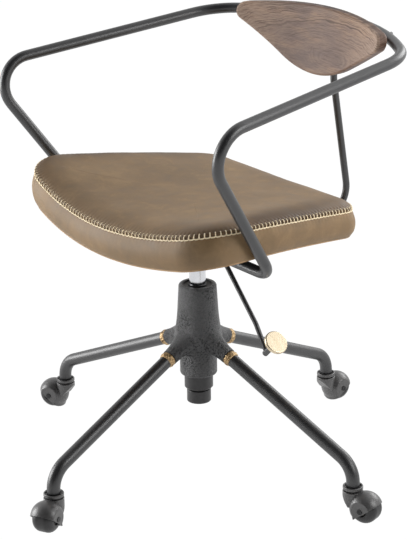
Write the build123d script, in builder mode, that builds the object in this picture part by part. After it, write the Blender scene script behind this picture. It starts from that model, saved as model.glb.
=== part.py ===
from build123d import *
import math
import os

os.makedirs("parts", exist_ok=True)

# Frame: millimetres, +Z up, the sitter faces -Y, +X is the sitter's left.
# The origin lies on the floor under the column axis.

# Fits
running_gap = 0.05        # radial clearance of a shaft in its bush
loose_gap = 0.3           # space between curved or soft neighbours

# Legs of the base
leg_names = ["left", "rear", "right", "front"]
base_yaw = 10.6           # turn of the left leg from +X
leg_d = 22
leg_wall = 2
leg_root_z = 236.8        # height at which the leg axes meet on the column axis
leg_bend_z = 88.4         # height at which a leg's slope meets its upright end
leg_root_s = 42           # distance along its axis at which a leg tube begins
leg_bend_r = 42
leg_end_z = 51
stem_reach = 338          # column axis to caster stem

# Cast hub
hub_top_z = 320
hub_bottom_z = 159.5
hub_top_d = 63.5
hub_neck_d = 69
hub_neck_z = 274
hub_skirt_d = 82
hub_skirt_z = 228
hub_low_d = 63
hub_shoulder_z = 207
hub_edge_r = 4
hub_blend_r = 6           # cast fillet between the body and the sockets
socket_root_s = 12        # flared leg sockets: distances along the leg axis
socket_root_d = 68
socket_end_s = 75
socket_end_d = 27
bead_width = 12           # brazed bead between socket and leg
bead_height = 3

# Casters
caster_turns = [8.8, -8.9, 17.1, 18.2]   # how far each caster is turned from pointing outwards
caster_trail = 24.7
wheel_d = 48
wheel_width = 37
tread_width = 12
wheel_edge_r = 14
wheel_recess = 2
hood_gap = 1.3
hood_wall = 1.8
hood_tilt = 38            # the hood leans back over the wheel, degrees
hood_below = 6            # how far the hood reaches below the axle
hood_visor = 2.4          # how far the visor stands out at the rim
hood_visor_arc = 96      # degrees of the rim that the visor covers
hood_visor_rise = 5
hood_cheek_r = 4          # rounding of the hood's flat cheeks
neck_d = 33.5
neck_top_z = 48.5
neck_bevel_z = 44.5
neck_edge_r = 1.3
axle_d = 6
axle_head_d = 9
axle_head = 1
stem_d = 8
stem_length = 18
collar_d = 33
collar_height = 5.6
collar_floor = 2.6
collar_lip = 2.8
insert_lip = 6            # full-width part of the stem socket inside the leg
insert_neck_d = 13.6

# Gas column
lift_d = 28
lift_wall = 1.6
lift_bottom_z = 196
rod_d = 10
gland_height = 18
piston_height = 14
piston_z = 284
tube_d = 48.7
tube_wall = 2
tube_top_z = 314
tube_shoulder_z = 134
tube_floor_z = 124
tube_floor = 6
tube_neck_d = 35
cap_d = 41
cap_bottom_z = 109
cap_floor = 3
cap_top_z = 131
bush_flange_d = 52
bush_flange = 6
bush_length = 76
bush_recess = 2.5
race_d = 32
race_height = 2
ball_d = 4
ball_count = 12
rod_collar_d = 16
rod_collar = 4
clip_d = 17
clip_height = 1.4
rod_tail = 4              # rod below its clip

# Mechanism under the seat
plate_top_z = 424
plate_thick = 4
plate_x = 190
plate_y = 190
plate_corner_r = 16
plate_shift_y = 8
housing_x = 120
housing_front_y = -75
housing_rear_y = 95
housing_bottom_z = 372
housing_wall = 3
housing_corner_r = 12
taper_drop = 0.8          # the lift's tip is this much thinner in radius
taper_top_z = 400
socket_d = 42
bolt_x = 150              # spacing of the four seat bolts
bolt_y = 150
bolt_d = 6
bolt_head_d = 11
bolt_head = 4
bolt_grip = 10

# Height lever
lever_d = 8
lever_z = 412
lever_inner_x = -9
lever_drop_x = 43         # where the lever turns down to the side
lever_kink = (160, 295)   # second bend, X and Z
lever_tip = (187.5, 255)
lever_bend_r = 14
lever_kink_r = 45
lever_boss_d = 13
lever_boss_w = 24
pivot_x = 30
pivot_d = 6
pivot_ear = 4
pivot_ear_w = 18
slot_w = 12
slot_low_z = 384
slot_high_z = 412
stub_d = 10
stub_back = 5
stub_length = 35.7
stub_rise = 44.5          # the knob faces up by this angle, degrees
knob_d = 39
knob_thick = 6.5
pin_d = 6
pin_length = 15
pin_top_gap = 0.3

# Seat
seat_front_x = 271        # half width at the front corners before rounding
seat_front_y = -198
seat_front_corner_y = -167
seat_rear_x = 193
seat_rear_y = 193
seat_rear_corner_y = 190
seat_side_bow = 5
seat_front_corner_r = 72
seat_rear_corner_r = 58
seat_seam_z = 467.6       # height of the seam at the middle of the seat
seat_band = 43            # height of the side band at the middle
seat_band_taper = 0.0133  # the band is deeper at the front, per millimetre
seat_belly = 5.3          # how much deeper the band is at the rim
seat_crown = 18           # the crown above the seam
seat_dish_front = 35.8    # rise of the seam at 250 to the side
seat_dish_rear = 5
seat_dish_x = 250
seat_arch = 9.3           # fall of the seam 200 in front of or behind the middle
seat_arch_y = 200
seat_lean = 0.017         # the seat falls towards the rear, per millimetre
seat_rim = 48             # width of the sloped rim, seen from above
seat_rim_drop = 10        # how far the rim falls from the crown
seat_edge_r = 5
leather = 2
board_thick = 12
dust_cloth = 1
dust_inset = 16

# Arm and back frame
arm_d = 18
arm_wall = 2
arm_low_x = 255
arm_low_y = -42
arm_low_z = 410
arm_front_x = 313
arm_front_y = -215.6
arm_lean = 7              # the armrest plane rises to the back, degrees
arm_plane_z = 689.6       # its height over the column axis
back_y = 306.4            # middle of the back rail
back_rail_r = 411
back_rail_x = 205.5       # half width of the back rail's arc
arm_taper = 0.1346        # the armrests close towards the back, per millimetre
arm_low_r = 42
arm_front_r = 50
arm_rear_r = 88
rod_back_d = 12
rod_back_z = 380
rod_back_lean = 0.164     # the upright comes forward as it rises, per millimetre
rod_back_kink = (290, 630)
rod_back_low_r = 50
rod_back_kink_r = 80

# Wooden backrest
wood_thick = 20
wood_front_r = 470        # bend of the front face
wood_lean = 13.5          # the face leans back, degrees
wood_stand_off = 13.5     # space between the rail and the middle of the wood
wood_top_rise = 18.3      # the top's middle over its tips
wood_bottom_z = 640
wood_bottom_r = 180
wood_flank = 27.4         # rise of the lower flanks, degrees
wood_tip_x = 221.5        # half width before the tips are rounded
wood_tip_r = 15.5
wood_edge_r = 3.5         # rounding of the front edge
wood_back_r = 6
screw_xs = [-140, -50, 50, 140]
screw_d = 4
screw_head_d = 9
screw_head = 3
screw_bite = 9
spacer_d = 10


def write(piece, node):
    """Label a finished piece and write it under its node name."""
    piece.part.label = node
    export_step(piece.part, f"parts/{node}.step")


leg_slope = math.degrees(math.atan2(leg_root_z - leg_bend_z, stem_reach))


def polar(radius, angle, z=0.0):
    """Point at a radius and an angle about the column axis."""
    return (radius * math.cos(math.radians(angle)), radius * math.sin(math.radians(angle)), z)


def radial_plane(angle):
    """Upright plane through the column axis: local x outwards, local y up."""
    return Plane(origin=(0, 0, 0), x_dir=polar(1, angle), z_dir=polar(1, angle - 90))


def leg_direction(angle):
    """Unit vector along a leg, outwards and down."""
    run = math.cos(math.radians(leg_slope))
    return polar(run, angle, -math.sin(math.radians(leg_slope)))


def leg_axis_plane(angle):
    """Plane that holds a leg's axis: local x along the leg, local y above it."""
    return Plane(origin=(0, 0, leg_root_z), x_dir=leg_direction(angle), z_dir=polar(1, angle - 90))


def leg_section_plane(angle, distance):
    """Plane square to a leg at a distance along its axis."""
    centre = Vector(0, 0, leg_root_z) + Vector(*leg_direction(angle)) * distance
    return Plane(origin=centre, x_dir=polar(1, angle + 90), z_dir=leg_direction(angle))


def caster_plane(index):
    """Floor plane under a caster stem: local x is the trailing direction."""
    angle = leg_angles[index]
    return Plane(origin=polar(stem_reach, angle), x_dir=polar(1, angle + caster_turns[index]), z_dir=(0, 0, 1))


def ring(outer_d, inner_d, low_z, high_z):
    """Plain ring about the column axis."""
    with BuildPart() as solid:
        with BuildSketch(Plane.XY.offset(low_z)):
            Circle(outer_d / 2)
            Circle(inner_d / 2, mode=Mode.SUBTRACT)
        extrude(amount=high_z - low_z)
    return solid


def flat_ball(plane, radius, half, edge_r=0):
    """Ball about a plane's origin, cut flat on both sides along the plane's normal."""
    with BuildPart() as ball:
        with Locations(plane.origin):
            Sphere(radius)
        with BuildSketch(plane):
            Circle(2 * radius)
        extrude(amount=half, both=True, mode=Mode.INTERSECT)
        if edge_r:
            fillet(ball.faces().filter_by(GeomType.PLANE).edges(), edge_r)
    return ball.part


leg_angles = [base_yaw + 360 * i / len(leg_names) for i in range(len(leg_names))]
leg_r = leg_d / 2
tube_r = tube_d / 2
tube_bore_r = tube_r - tube_wall
lift_r = lift_d / 2
lift_bore_r = lift_r - lift_wall
wheel_r = wheel_d / 2
hood_inner_r = wheel_r + hood_gap
hood_r = hood_inner_r + hood_wall
cavity_half = wheel_width / 2 + hood_gap
hood_half = cavity_half + hood_wall

# Cast hub with four flared leg sockets
with BuildPart() as base_hub:
    with BuildSketch(Plane.XZ):
        with BuildLine():
            upper = Polyline(
                (0, hub_bottom_z), (0, hub_top_z), (hub_top_d / 2, hub_top_z), (hub_neck_d / 2, hub_neck_z)
            )
            flare = TangentArc((hub_neck_d / 2, hub_neck_z), (hub_skirt_d / 2, hub_skirt_z), tangent=upper % 1)
            Polyline(
                flare @ 1, (hub_low_d / 2, hub_shoulder_z), (hub_low_d / 2, hub_bottom_z), (0, hub_bottom_z)
            )
        make_face()
    revolve(axis=Axis.Z)
    for angle in leg_angles:
        with BuildSketch(leg_axis_plane(angle)):
            with BuildLine():
                trumpet = TangentArc(
                    (socket_end_s, socket_end_d / 2), (socket_root_s, socket_root_d / 2), tangent=(-1, 0)
                )
                Polyline(trumpet @ 1, (socket_root_s, 0), (socket_end_s, 0), trumpet @ 0)
            make_face()
        revolve(axis=Axis((0, 0, leg_root_z), leg_direction(angle)))
    fillet(base_hub.edges().filter_by(GeomType.BSPLINE), hub_blend_r)
    top_edge = base_hub.edges().filter_by(GeomType.CIRCLE).group_by(Axis.Z)[-1]
    fillet(top_edge, hub_edge_r)
    bottom_edge = base_hub.edges().filter_by(GeomType.CIRCLE).group_by(Axis.Z)[0]
    fillet(bottom_edge, hub_edge_r)
    with Locations((0, 0, hub_bottom_z)):
        Cylinder(
            tube_r + running_gap, hub_top_z - hub_bottom_z,
            align=(Align.CENTER, Align.CENTER, Align.MIN), mode=Mode.SUBTRACT,
        )
    with Locations((0, 0, hub_top_z)):
        Cylinder(
            bush_flange_d / 2 + running_gap, bush_flange,
            align=(Align.CENTER, Align.CENTER, Align.MAX), mode=Mode.SUBTRACT,
        )
    for angle in leg_angles:
        with BuildSketch(leg_section_plane(angle, leg_root_s)):
            Circle(leg_r + running_gap)
        extrude(amount=socket_end_s, mode=Mode.SUBTRACT)
write(base_hub, "base_hub")

# Bent leg tubes
for name, angle in zip(leg_names, leg_angles):
    fall = math.tan(math.radians(leg_slope))
    root_x = leg_root_s * math.cos(math.radians(leg_slope))
    with BuildPart() as leg:
        with BuildLine(radial_plane(angle)) as leg_path:
            FilletPolyline(
                (root_x, leg_root_z - fall * root_x),
                (stem_reach, leg_bend_z),
                (stem_reach, leg_end_z),
                radius=leg_bend_r,
            )
        with BuildSketch(Plane(origin=leg_path.line @ 0, z_dir=leg_path.line % 0)):
            Circle(leg_r)
            Circle(leg_r - leg_wall, mode=Mode.SUBTRACT)
        sweep()
    write(leg, f"leg_{name}")

# Brazed beads where the legs leave the hub
with BuildPart() as weld_beads:
    for angle in leg_angles:
        with BuildSketch(leg_axis_plane(angle)):
            with BuildLine():
                bead = ThreePointArc(
                    (socket_end_s, leg_r),
                    (socket_end_s + bead_width / 2, leg_r + bead_height),
                    (socket_end_s + bead_width, leg_r),
                )
                Line(bead @ 1, bead @ 0)
            make_face()
        revolve(axis=Axis((0, 0, leg_root_z), leg_direction(angle)))
write(weld_beads, "weld_beads")

# Cupped collars on the leg ends
with BuildPart() as leg_collars:
    for angle in leg_angles:
        with BuildSketch(Plane(origin=polar(stem_reach, angle, leg_end_z))):
            Circle(collar_d / 2)
            Circle(leg_r + running_gap, mode=Mode.SUBTRACT)
        extrude(amount=collar_floor)
        with BuildSketch(Plane(origin=polar(stem_reach, angle, leg_end_z + collar_floor))):
            Circle(collar_d / 2)
            Circle(collar_d / 2 - collar_lip, mode=Mode.SUBTRACT)
        extrude(amount=collar_height - collar_floor)
    lips = leg_collars.edges().group_by(Axis.Z)[-1]
    fillet(lips, collar_lip * 0.45)
    feet = leg_collars.edges().group_by(Axis.Z)[0]
    fillet(feet.filter_by(lambda edge: edge.radius > leg_d * 0.6), neck_edge_r)
write(leg_collars, "leg_collars")

# Stem sockets pressed into the leg ends
with BuildPart() as stem_sockets:
    for angle in leg_angles:
        with BuildSketch(Plane(origin=polar(stem_reach, angle, leg_end_z))):
            Circle(leg_r - leg_wall - running_gap)
            Circle(stem_d / 2 + running_gap, mode=Mode.SUBTRACT)
        extrude(amount=insert_lip)
        with BuildSketch(Plane(origin=polar(stem_reach, angle, leg_end_z + insert_lip))):
            Circle(insert_neck_d / 2)
            Circle(stem_d / 2 + running_gap, mode=Mode.SUBTRACT)
        extrude(amount=stem_length - insert_lip)
write(stem_sockets, "stem_sockets")

# Hooded ball casters
for index, name in enumerate(leg_names):
    floor = caster_plane(index)
    wheel_centre = floor.from_local_coords((caster_trail, 0, wheel_r))
    hood_axis = floor.from_local_coords(
        (caster_trail - math.sin(math.radians(hood_tilt)), 0, wheel_r + math.cos(math.radians(hood_tilt)))
    ) - wheel_centre
    rim_plane = Plane(origin=wheel_centre, z_dir=hood_axis).offset(-hood_below)
    axle_plane = Plane(origin=wheel_centre, x_dir=floor.x_dir, z_dir=floor.y_dir)
    bevel_plane = Plane(origin=floor.origin, x_dir=floor.x_dir, z_dir=-floor.y_dir)
    rim_r = math.sqrt(hood_r**2 - hood_below**2)
    visor_dir = hood_axis.cross(floor.y_dir).rotate(Axis((0, 0, 0), hood_axis), -hood_visor_arc / 2)
    visor_plane = Plane(origin=wheel_centre, x_dir=visor_dir, z_dir=visor_dir.cross(hood_axis))

    with BuildPart() as hood:
        with BuildSketch(Plane(origin=floor.origin + Vector(0, 0, wheel_r))):
            Circle(neck_d / 2)
        extrude(amount=neck_top_z - wheel_r)
        fillet(hood.edges().group_by(Axis.Z)[-1], neck_edge_r)
        with BuildSketch(bevel_plane):
            Polygon(
                (-neck_d, neck_bevel_z + neck_d / 2), (-neck_d / 2, neck_bevel_z), (0, wheel_r), (0, 0), (-neck_d, 0),
                align=None,
            )
        extrude(amount=neck_d, both=True, mode=Mode.SUBTRACT)
        add(flat_ball(axle_plane, hood_r, hood_half, hood_cheek_r))
        split(bisect_by=rim_plane, keep=Keep.TOP)
        with BuildSketch(visor_plane):
            Polygon(
                (hood_inner_r, -hood_below),
                (rim_r + hood_visor, -hood_below),
                (hood_r, hood_visor_rise - hood_below),
                (hood_inner_r, hood_visor_rise - hood_below),
                align=None,
            )
        revolve(axis=Axis(wheel_centre, hood_axis), revolution_arc=hood_visor_arc)
        add(flat_ball(axle_plane, hood_inner_r, cavity_half), mode=Mode.SUBTRACT)
        with BuildSketch(axle_plane):
            Circle(axle_d / 2)
        extrude(amount=2 * hood_r, both=True, mode=Mode.SUBTRACT)
        with BuildSketch(Plane(origin=floor.origin + Vector(0, 0, neck_top_z))):
            Circle(stem_d / 2)
        extrude(amount=-hood_wall * 2, mode=Mode.SUBTRACT)
    write(hood, f"caster_hood_{name}")

    with BuildPart() as stem:
        with BuildSketch(Plane(origin=floor.origin + Vector(0, 0, neck_top_z - hood_wall * 2))):
            Circle(stem_d / 2)
        extrude(amount=leg_end_z + stem_length - neck_top_z)
        chamfer(stem.edges().group_by(Axis.Z)[-1], stem_d / 8)
    write(stem, f"caster_stem_{name}")

    half = wheel_width / 2
    with BuildPart() as wheel:
        with BuildSketch(Plane(origin=wheel_centre, x_dir=floor.y_dir, z_dir=floor.x_dir)):
            with BuildLine():
                right = ThreePointArc(
                    (tread_width / 2, wheel_r),
                    (half - (half - tread_width / 2) * 0.29, wheel_r - wheel_edge_r * 0.29),
                    (half, wheel_r - wheel_edge_r),
                )
                Polyline(
                    right @ 1,
                    (half - wheel_recess, wheel_r - wheel_edge_r - wheel_recess),
                    (half - wheel_recess, axle_d / 2 + running_gap),
                    (wheel_recess - half, axle_d / 2 + running_gap),
                    (wheel_recess - half, wheel_r - wheel_edge_r - wheel_recess),
                    (-half, wheel_r - wheel_edge_r),
                )
                ThreePointArc(
                    (-half, wheel_r - wheel_edge_r),
                    ((half - tread_width / 2) * 0.29 - half, wheel_r - wheel_edge_r * 0.29),
                    (-tread_width / 2, wheel_r),
                )
                Line((-tread_width / 2, wheel_r), right @ 0)
            make_face()
        revolve(axis=Axis(wheel_centre, floor.y_dir))
    write(wheel, f"caster_wheel_{name}")

    with BuildPart() as axle:
        with BuildSketch(axle_plane):
            Circle(axle_d / 2)
        extrude(amount=hood_half, both=True)
        for side in (1, -1):
            with BuildSketch(axle_plane.offset(side * hood_half)):
                Circle(axle_head_d / 2)
            extrude(amount=side * axle_head)
    write(axle, f"caster_axle_{name}")

# Stand tube in the hub, with a stepped neck that carries the thrust bearing
tube_floor_top = tube_floor_z + tube_floor
race_r = race_d / 2
neck_low_z = cap_bottom_z + cap_floor + loose_gap
with BuildPart() as stand_tube:
    with BuildSketch(Plane.XZ):
        with BuildLine():
            Polyline(
                (rod_d / 2 + 0.1, tube_floor_z),
                (race_r - 2, tube_floor_z),
                (race_r - 2, neck_low_z),
                (tube_neck_d / 2, neck_low_z),
                (tube_neck_d / 2, tube_shoulder_z),
                (tube_r - 2, tube_shoulder_z),
                (tube_r, tube_shoulder_z + 2),
                (tube_r, tube_top_z),
                (tube_bore_r, tube_top_z),
                (tube_bore_r, tube_shoulder_z + 5),
                (race_r + running_gap, tube_shoulder_z + 5),
                (race_r + running_gap, tube_floor_top),
                (rod_d / 2 + 0.1, tube_floor_top),
                close=True,
            )
        make_face()
    revolve(axis=Axis.Z)
write(stand_tube, "stand_tube")

with BuildPart() as column_cap:
    with BuildSketch(Plane.XY.offset(cap_bottom_z)):
        Circle(cap_d / 2)
    extrude(amount=cap_top_z - cap_bottom_z)
    fillet(column_cap.edges(), 1.2)
    with BuildSketch(Plane.XY.offset(cap_bottom_z + cap_floor)):
        Circle(tube_neck_d / 2 + running_gap)
    extrude(amount=cap_top_z, mode=Mode.SUBTRACT)
write(column_cap, "column_cap")

# Guide bush in the top of the stand tube
flange_mid_r = (lift_r + bush_flange_d / 2) / 2
with BuildPart() as guide_bush:
    with BuildSketch(Plane.XY.offset(tube_top_z - bush_length)):
        Circle(tube_bore_r - running_gap)
    extrude(amount=bush_length)
    with BuildSketch(Plane.XY.offset(tube_top_z)):
        Circle(bush_flange_d / 2)
    extrude(amount=bush_flange)
    with BuildSketch(Plane.XY.offset(tube_top_z + bush_flange)):
        Circle(flange_mid_r + 4)
        Circle(flange_mid_r - 4, mode=Mode.SUBTRACT)
    extrude(amount=-bush_recess, mode=Mode.SUBTRACT)
    with BuildSketch(Plane.XY.offset(tube_top_z + bush_flange)):
        Circle(lift_r + running_gap)
    extrude(amount=-bush_length - bush_flange, mode=Mode.SUBTRACT)
write(guide_bush, "guide_bush")

# Thrust bearing
ball_circle_r = (race_d + rod_d) / 4
balls_low_z = tube_floor_top + race_height + running_gap
race_high_z = balls_low_z + ball_d
thrust_race_lower = ring(race_d, rod_d + 1, tube_floor_top, tube_floor_top + race_height)
write(thrust_race_lower, "thrust_race_lower")

with BuildPart() as thrust_balls:
    with Locations(Plane.XY.offset(balls_low_z + ball_d / 2)):
        with PolarLocations(ball_circle_r, ball_count):
            Sphere(ball_d / 2)
write(thrust_balls, "thrust_balls")

thrust_race_upper = ring(race_d - 1, rod_d + 0.1, race_high_z, race_high_z + race_height)
write(thrust_race_upper, "thrust_race_upper")

# Piston rod with its collar, clip and piston
rod_collar_z = race_high_z + race_height
clip_top_z = tube_floor_z - loose_gap
clip_groove_d = rod_d - 2
rod_low_z = clip_top_z - clip_height - rod_tail
with BuildPart() as piston_rod:
    with BuildSketch(Plane.XY.offset(rod_low_z)):
        Circle(rod_d / 2)
    extrude(amount=piston_z + piston_height - rod_low_z)
    with BuildSketch(Plane.XY.offset(rod_collar_z)):
        Circle(rod_collar_d / 2)
    extrude(amount=rod_collar)
    with BuildSketch(Plane.XY.offset(clip_top_z)):
        Circle(rod_d)
        Circle(clip_groove_d / 2, mode=Mode.SUBTRACT)
    extrude(amount=-clip_height, mode=Mode.SUBTRACT)
write(piston_rod, "piston_rod")

with BuildPart() as retaining_clip:
    with BuildSketch(Plane.XY.offset(clip_top_z - clip_height)):
        Circle(clip_d / 2)
        Circle(clip_groove_d / 2, mode=Mode.SUBTRACT)
        with Locations((clip_d / 2, 0)):
            Rectangle(clip_d, clip_groove_d * 0.7, mode=Mode.SUBTRACT)
    extrude(amount=clip_height)
write(retaining_clip, "retaining_clip")

piston = ring(2 * (lift_bore_r - running_gap), rod_d, piston_z, piston_z + piston_height)
write(piston, "piston")

# Gas cylinder with a tapered tip
gland_top_z = lift_bottom_z + gland_height
lift_roof_z = taper_top_z - 15
with BuildPart() as gas_cylinder:
    with BuildSketch(Plane.XZ):
        with BuildLine():
            Polyline(
                (lift_bore_r, lift_bottom_z),
                (lift_r, lift_bottom_z),
                (lift_r, housing_bottom_z),
                (lift_r - taper_drop, taper_top_z),
                (pin_d / 2 + running_gap, taper_top_z),
                (pin_d / 2 + running_gap, lift_roof_z),
                (lift_bore_r, lift_roof_z),
                close=True,
            )
        make_face()
    revolve(axis=Axis.Z)
write(gas_cylinder, "gas_cylinder")

cylinder_gland = ring(2 * lift_bore_r, rod_d + 2 * running_gap, lift_bottom_z, gland_top_z)
write(cylinder_gland, "cylinder_gland")

# Housing under the seat
housing_top_z = plate_top_z - plate_thick
housing_mid_y = (housing_front_y + housing_rear_y) / 2
housing_y = housing_rear_y - housing_front_y
with BuildPart() as mechanism_housing:
    with BuildSketch(Plane.XY.offset(housing_bottom_z)):
        with Locations((0, housing_mid_y)):
            RectangleRounded(housing_x, housing_y, housing_corner_r)
    extrude(amount=housing_top_z - housing_bottom_z)
    fillet(mechanism_housing.edges().group_by(Axis.Z)[0], 3)
    with BuildSketch(Plane.XY.offset(housing_bottom_z + housing_wall)):
        with Locations((0, housing_mid_y)):
            RectangleRounded(
                housing_x - 2 * housing_wall, housing_y - 2 * housing_wall, housing_corner_r - housing_wall
            )
    extrude(amount=housing_top_z, mode=Mode.SUBTRACT)
    with BuildSketch(Plane.XY.offset(housing_bottom_z)):
        Circle(socket_d / 2)
    extrude(amount=housing_wall, mode=Mode.SUBTRACT)
    with BuildSketch(Plane.YZ.offset(housing_x / 2)):
        with Locations((0, (slot_low_z + slot_high_z) / 2)):
            Rectangle(slot_w, slot_high_z - slot_low_z)
    extrude(amount=-2 * housing_wall, mode=Mode.SUBTRACT)
write(mechanism_housing, "mechanism_housing")

# Conical socket that holds the lift's tip
with BuildPart() as taper_socket:
    with BuildSketch(Plane.XZ):
        with BuildLine():
            Polyline(
                (lift_r + 0.03, housing_bottom_z),
                (socket_d / 2, housing_bottom_z),
                (socket_d / 2, taper_top_z + 2),
                (lift_r - taper_drop + 0.03, taper_top_z + 2),
                (lift_r - taper_drop + 0.03, taper_top_z),
                close=True,
            )
        make_face()
    revolve(axis=Axis.Z)
write(taper_socket, "taper_socket")

# Seat plate with two ears for the lever pivot
ear_inner_y = lever_boss_w / 2 + loose_gap
ear_low_z = lever_z - pivot_d - 3
with BuildPart() as seat_plate:
    with BuildSketch(Plane.XY.offset(housing_top_z)):
        with Locations((0, plate_shift_y)):
            RectangleRounded(plate_x, plate_y, plate_corner_r)
            with GridLocations(bolt_x, bolt_y, 2, 2):
                Circle(bolt_d / 2 + running_gap, mode=Mode.SUBTRACT)
    extrude(amount=plate_thick)
    for side in (1, -1):
        with BuildSketch(Plane.XZ.offset(-side * ear_inner_y)):
            with Locations((pivot_x, (housing_top_z + ear_low_z) / 2)):
                Rectangle(pivot_ear_w, housing_top_z - ear_low_z)
            with Locations((pivot_x, lever_z)):
                Circle(pivot_d / 2, mode=Mode.SUBTRACT)
        extrude(amount=-side * pivot_ear)
write(seat_plate, "seat_plate")

with BuildPart() as pivot_pin:
    with BuildSketch(Plane.XZ.offset(-ear_inner_y - pivot_ear)):
        with Locations((pivot_x, lever_z)):
            Circle(pivot_d / 2)
    extrude(amount=2 * (ear_inner_y + pivot_ear))
write(pivot_pin, "pivot_pin")

with BuildPart() as plate_bolts:
    with BuildSketch(Plane.XY.offset(housing_top_z)):
        with Locations((0, plate_shift_y)):
            with GridLocations(bolt_x, bolt_y, 2, 2):
                RegularPolygon(bolt_head_d / 2, 6)
    extrude(amount=-bolt_head)
    with BuildSketch(Plane.XY.offset(housing_top_z)):
        with Locations((0, plate_shift_y)):
            with GridLocations(bolt_x, bolt_y, 2, 2):
                Circle(bolt_d / 2)
    extrude(amount=plate_thick + bolt_grip)
write(plate_bolts, "plate_bolts")

# Height lever: bent rod, stub and disc knob
with BuildPart() as lever_rod:
    with BuildLine(Plane.XZ) as lever_path:
        FilletPolyline(
            (lever_inner_x, lever_z), (lever_drop_x, lever_z), lever_kink, lever_tip,
            radius=[lever_bend_r, lever_kink_r],
        )
    with BuildSketch(Plane(origin=lever_path.line @ 0, z_dir=lever_path.line % 0)):
        Circle(lever_d / 2)
    sweep()
    with BuildSketch(Plane.XZ.offset(-lever_boss_w / 2)):
        with Locations((pivot_x, lever_z)):
            Circle(lever_boss_d / 2)
    extrude(amount=lever_boss_w)
    with BuildSketch(Plane.XZ.offset(-lever_boss_w / 2)):
        with Locations((pivot_x, lever_z)):
            Circle(pivot_d / 2 + running_gap)
    extrude(amount=lever_boss_w, mode=Mode.SUBTRACT)
write(lever_rod, "lever_rod")

stub_dir = (math.cos(math.radians(stub_rise)), 0, math.sin(math.radians(stub_rise)))
stub_plane = Plane(origin=(lever_tip[0], 0, lever_tip[1]), x_dir=(0, 1, 0), z_dir=stub_dir).offset(-stub_back)
knob_grip = knob_thick / 2
with BuildPart() as lever_stub:
    with BuildSketch(stub_plane):
        Circle(stub_d / 2)
    extrude(amount=stub_length + knob_grip)
    add(lever_rod.part, mode=Mode.SUBTRACT)
write(lever_stub, "lever_stub")

with BuildPart() as lever_knob:
    with BuildSketch(stub_plane.offset(stub_length)):
        Circle(knob_d / 2)
    extrude(amount=knob_thick)
    fillet(lever_knob.edges().filter_by(GeomType.CIRCLE), knob_thick * 0.3)
    with BuildSketch(stub_plane.offset(stub_length)):
        Circle(stub_d / 2)
    extrude(amount=knob_grip, mode=Mode.SUBTRACT)
write(lever_knob, "lever_knob")

# Release pin on top of the lift, pressed by the lever's inner arm
pin_top_z = lever_z - lever_d / 2 - pin_top_gap
with BuildPart() as release_pin:
    with BuildSketch(Plane.XY.offset(pin_top_z)):
        Circle(pin_d / 2)
    extrude(amount=-pin_length)
    fillet(release_pin.edges().group_by(Axis.Z)[-1], pin_d / 2 * 0.9)
write(release_pin, "release_pin")


def seam_z(x, y):
    """Height of the seat seam over a point of the plan."""
    blend = min(max((y - seat_front_y) / (seat_rear_y - seat_front_y), 0), 1)
    dish = seat_dish_front * (1 - blend) + seat_dish_rear * blend
    return seat_seam_z + dish * (x / seat_dish_x) ** 2 - seat_lean * y - seat_arch * (y / seat_arch_y) ** 2


def base_z(x, y):
    """Height of the seat's lower face."""
    hollow = (x / seat_dish_x) ** 2 + (y / seat_arch_y) ** 2
    return seam_z(x, y) - seat_band + seat_band_taper * y - seat_belly * hollow


def crown_z(x, y):
    """Height of the seat's top."""
    return seam_z(x, y) + seat_crown


def seat_block(inset, low, low_shift, high, high_shift, rim=0, edge_r=0):
    """Solid between two dished surfaces, cut to the seat's plan, with an optional sloped and rounded rim."""
    reach = seat_front_x + 30
    with BuildPart() as block:
        for station in (-1.2, -0.6, 0, 0.6, 1.2):
            y = station * seat_arch_y
            with BuildSketch(Plane.XZ.offset(-y)):
                with BuildLine():
                    under = ThreePointArc(
                        (-reach, low(reach, y) + low_shift),
                        (0, low(0, y) + low_shift),
                        (reach, low(reach, y) + low_shift),
                    )
                    over = ThreePointArc(
                        (reach, high(reach, y) + high_shift),
                        (0, high(0, y) + high_shift),
                        (-reach, high(reach, y) + high_shift),
                    )
                    Line(under @ 1, over @ 0)
                    Line(over @ 1, under @ 0)
                make_face()
        loft()
        with BuildSketch(Plane.XY.offset(seat_seam_z - 200)) as plan:
            with BuildLine():
                front_x = seat_front_x - inset
                rear_x = seat_rear_x - inset
                front_y = seat_front_corner_y + inset
                rear_y = seat_rear_corner_y - inset
                mid_x = (front_x + rear_x) / 2 + seat_side_bow
                mid_y = (front_y + rear_y) / 2
                ThreePointArc((-front_x, front_y), (0, seat_front_y + inset), (front_x, front_y))
                ThreePointArc((front_x, front_y), (mid_x, mid_y), (rear_x, rear_y))
                ThreePointArc((rear_x, rear_y), (0, seat_rear_y - inset), (-rear_x, rear_y))
                ThreePointArc((-rear_x, rear_y), (-mid_x, mid_y), (-front_x, front_y))
            make_face()
            fillet(plan.vertices().sort_by(Axis.Y)[:2], seat_front_corner_r - inset)
            fillet(plan.vertices().sort_by(Axis.Y)[-2:], seat_rear_corner_r - inset)
        extrude(amount=400, mode=Mode.INTERSECT)
        if rim:
            top = block.faces().sort_by(SortBy.AREA)[-2:].sort_by(Axis.Z)[-1]
            chamfer(top.edges(), rim, seat_rim_drop, reference=top)
        if edge_r:
            walls = block.faces().filter_by(GeomType.CYLINDER)
            fillet([wall.edges().sort_by(Axis.Z)[-1] for wall in walls], edge_r)
    return block.part


with BuildPart() as seat_cover:
    add(seat_block(0, base_z, 0, crown_z, 0, seat_rim, seat_edge_r))
    add(seat_block(leather, base_z, -10, crown_z, -leather, seat_rim - leather), mode=Mode.SUBTRACT)
write(seat_cover, "seat_cover")

board_low = dust_cloth + 0.2
board_high = board_low + board_thick
with BuildPart() as seat_foam:
    add(
        seat_block(
            leather + loose_gap, base_z, board_high + loose_gap,
            crown_z, -leather - loose_gap, seat_rim - leather - loose_gap,
        )
    )
write(seat_foam, "seat_foam")

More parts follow.
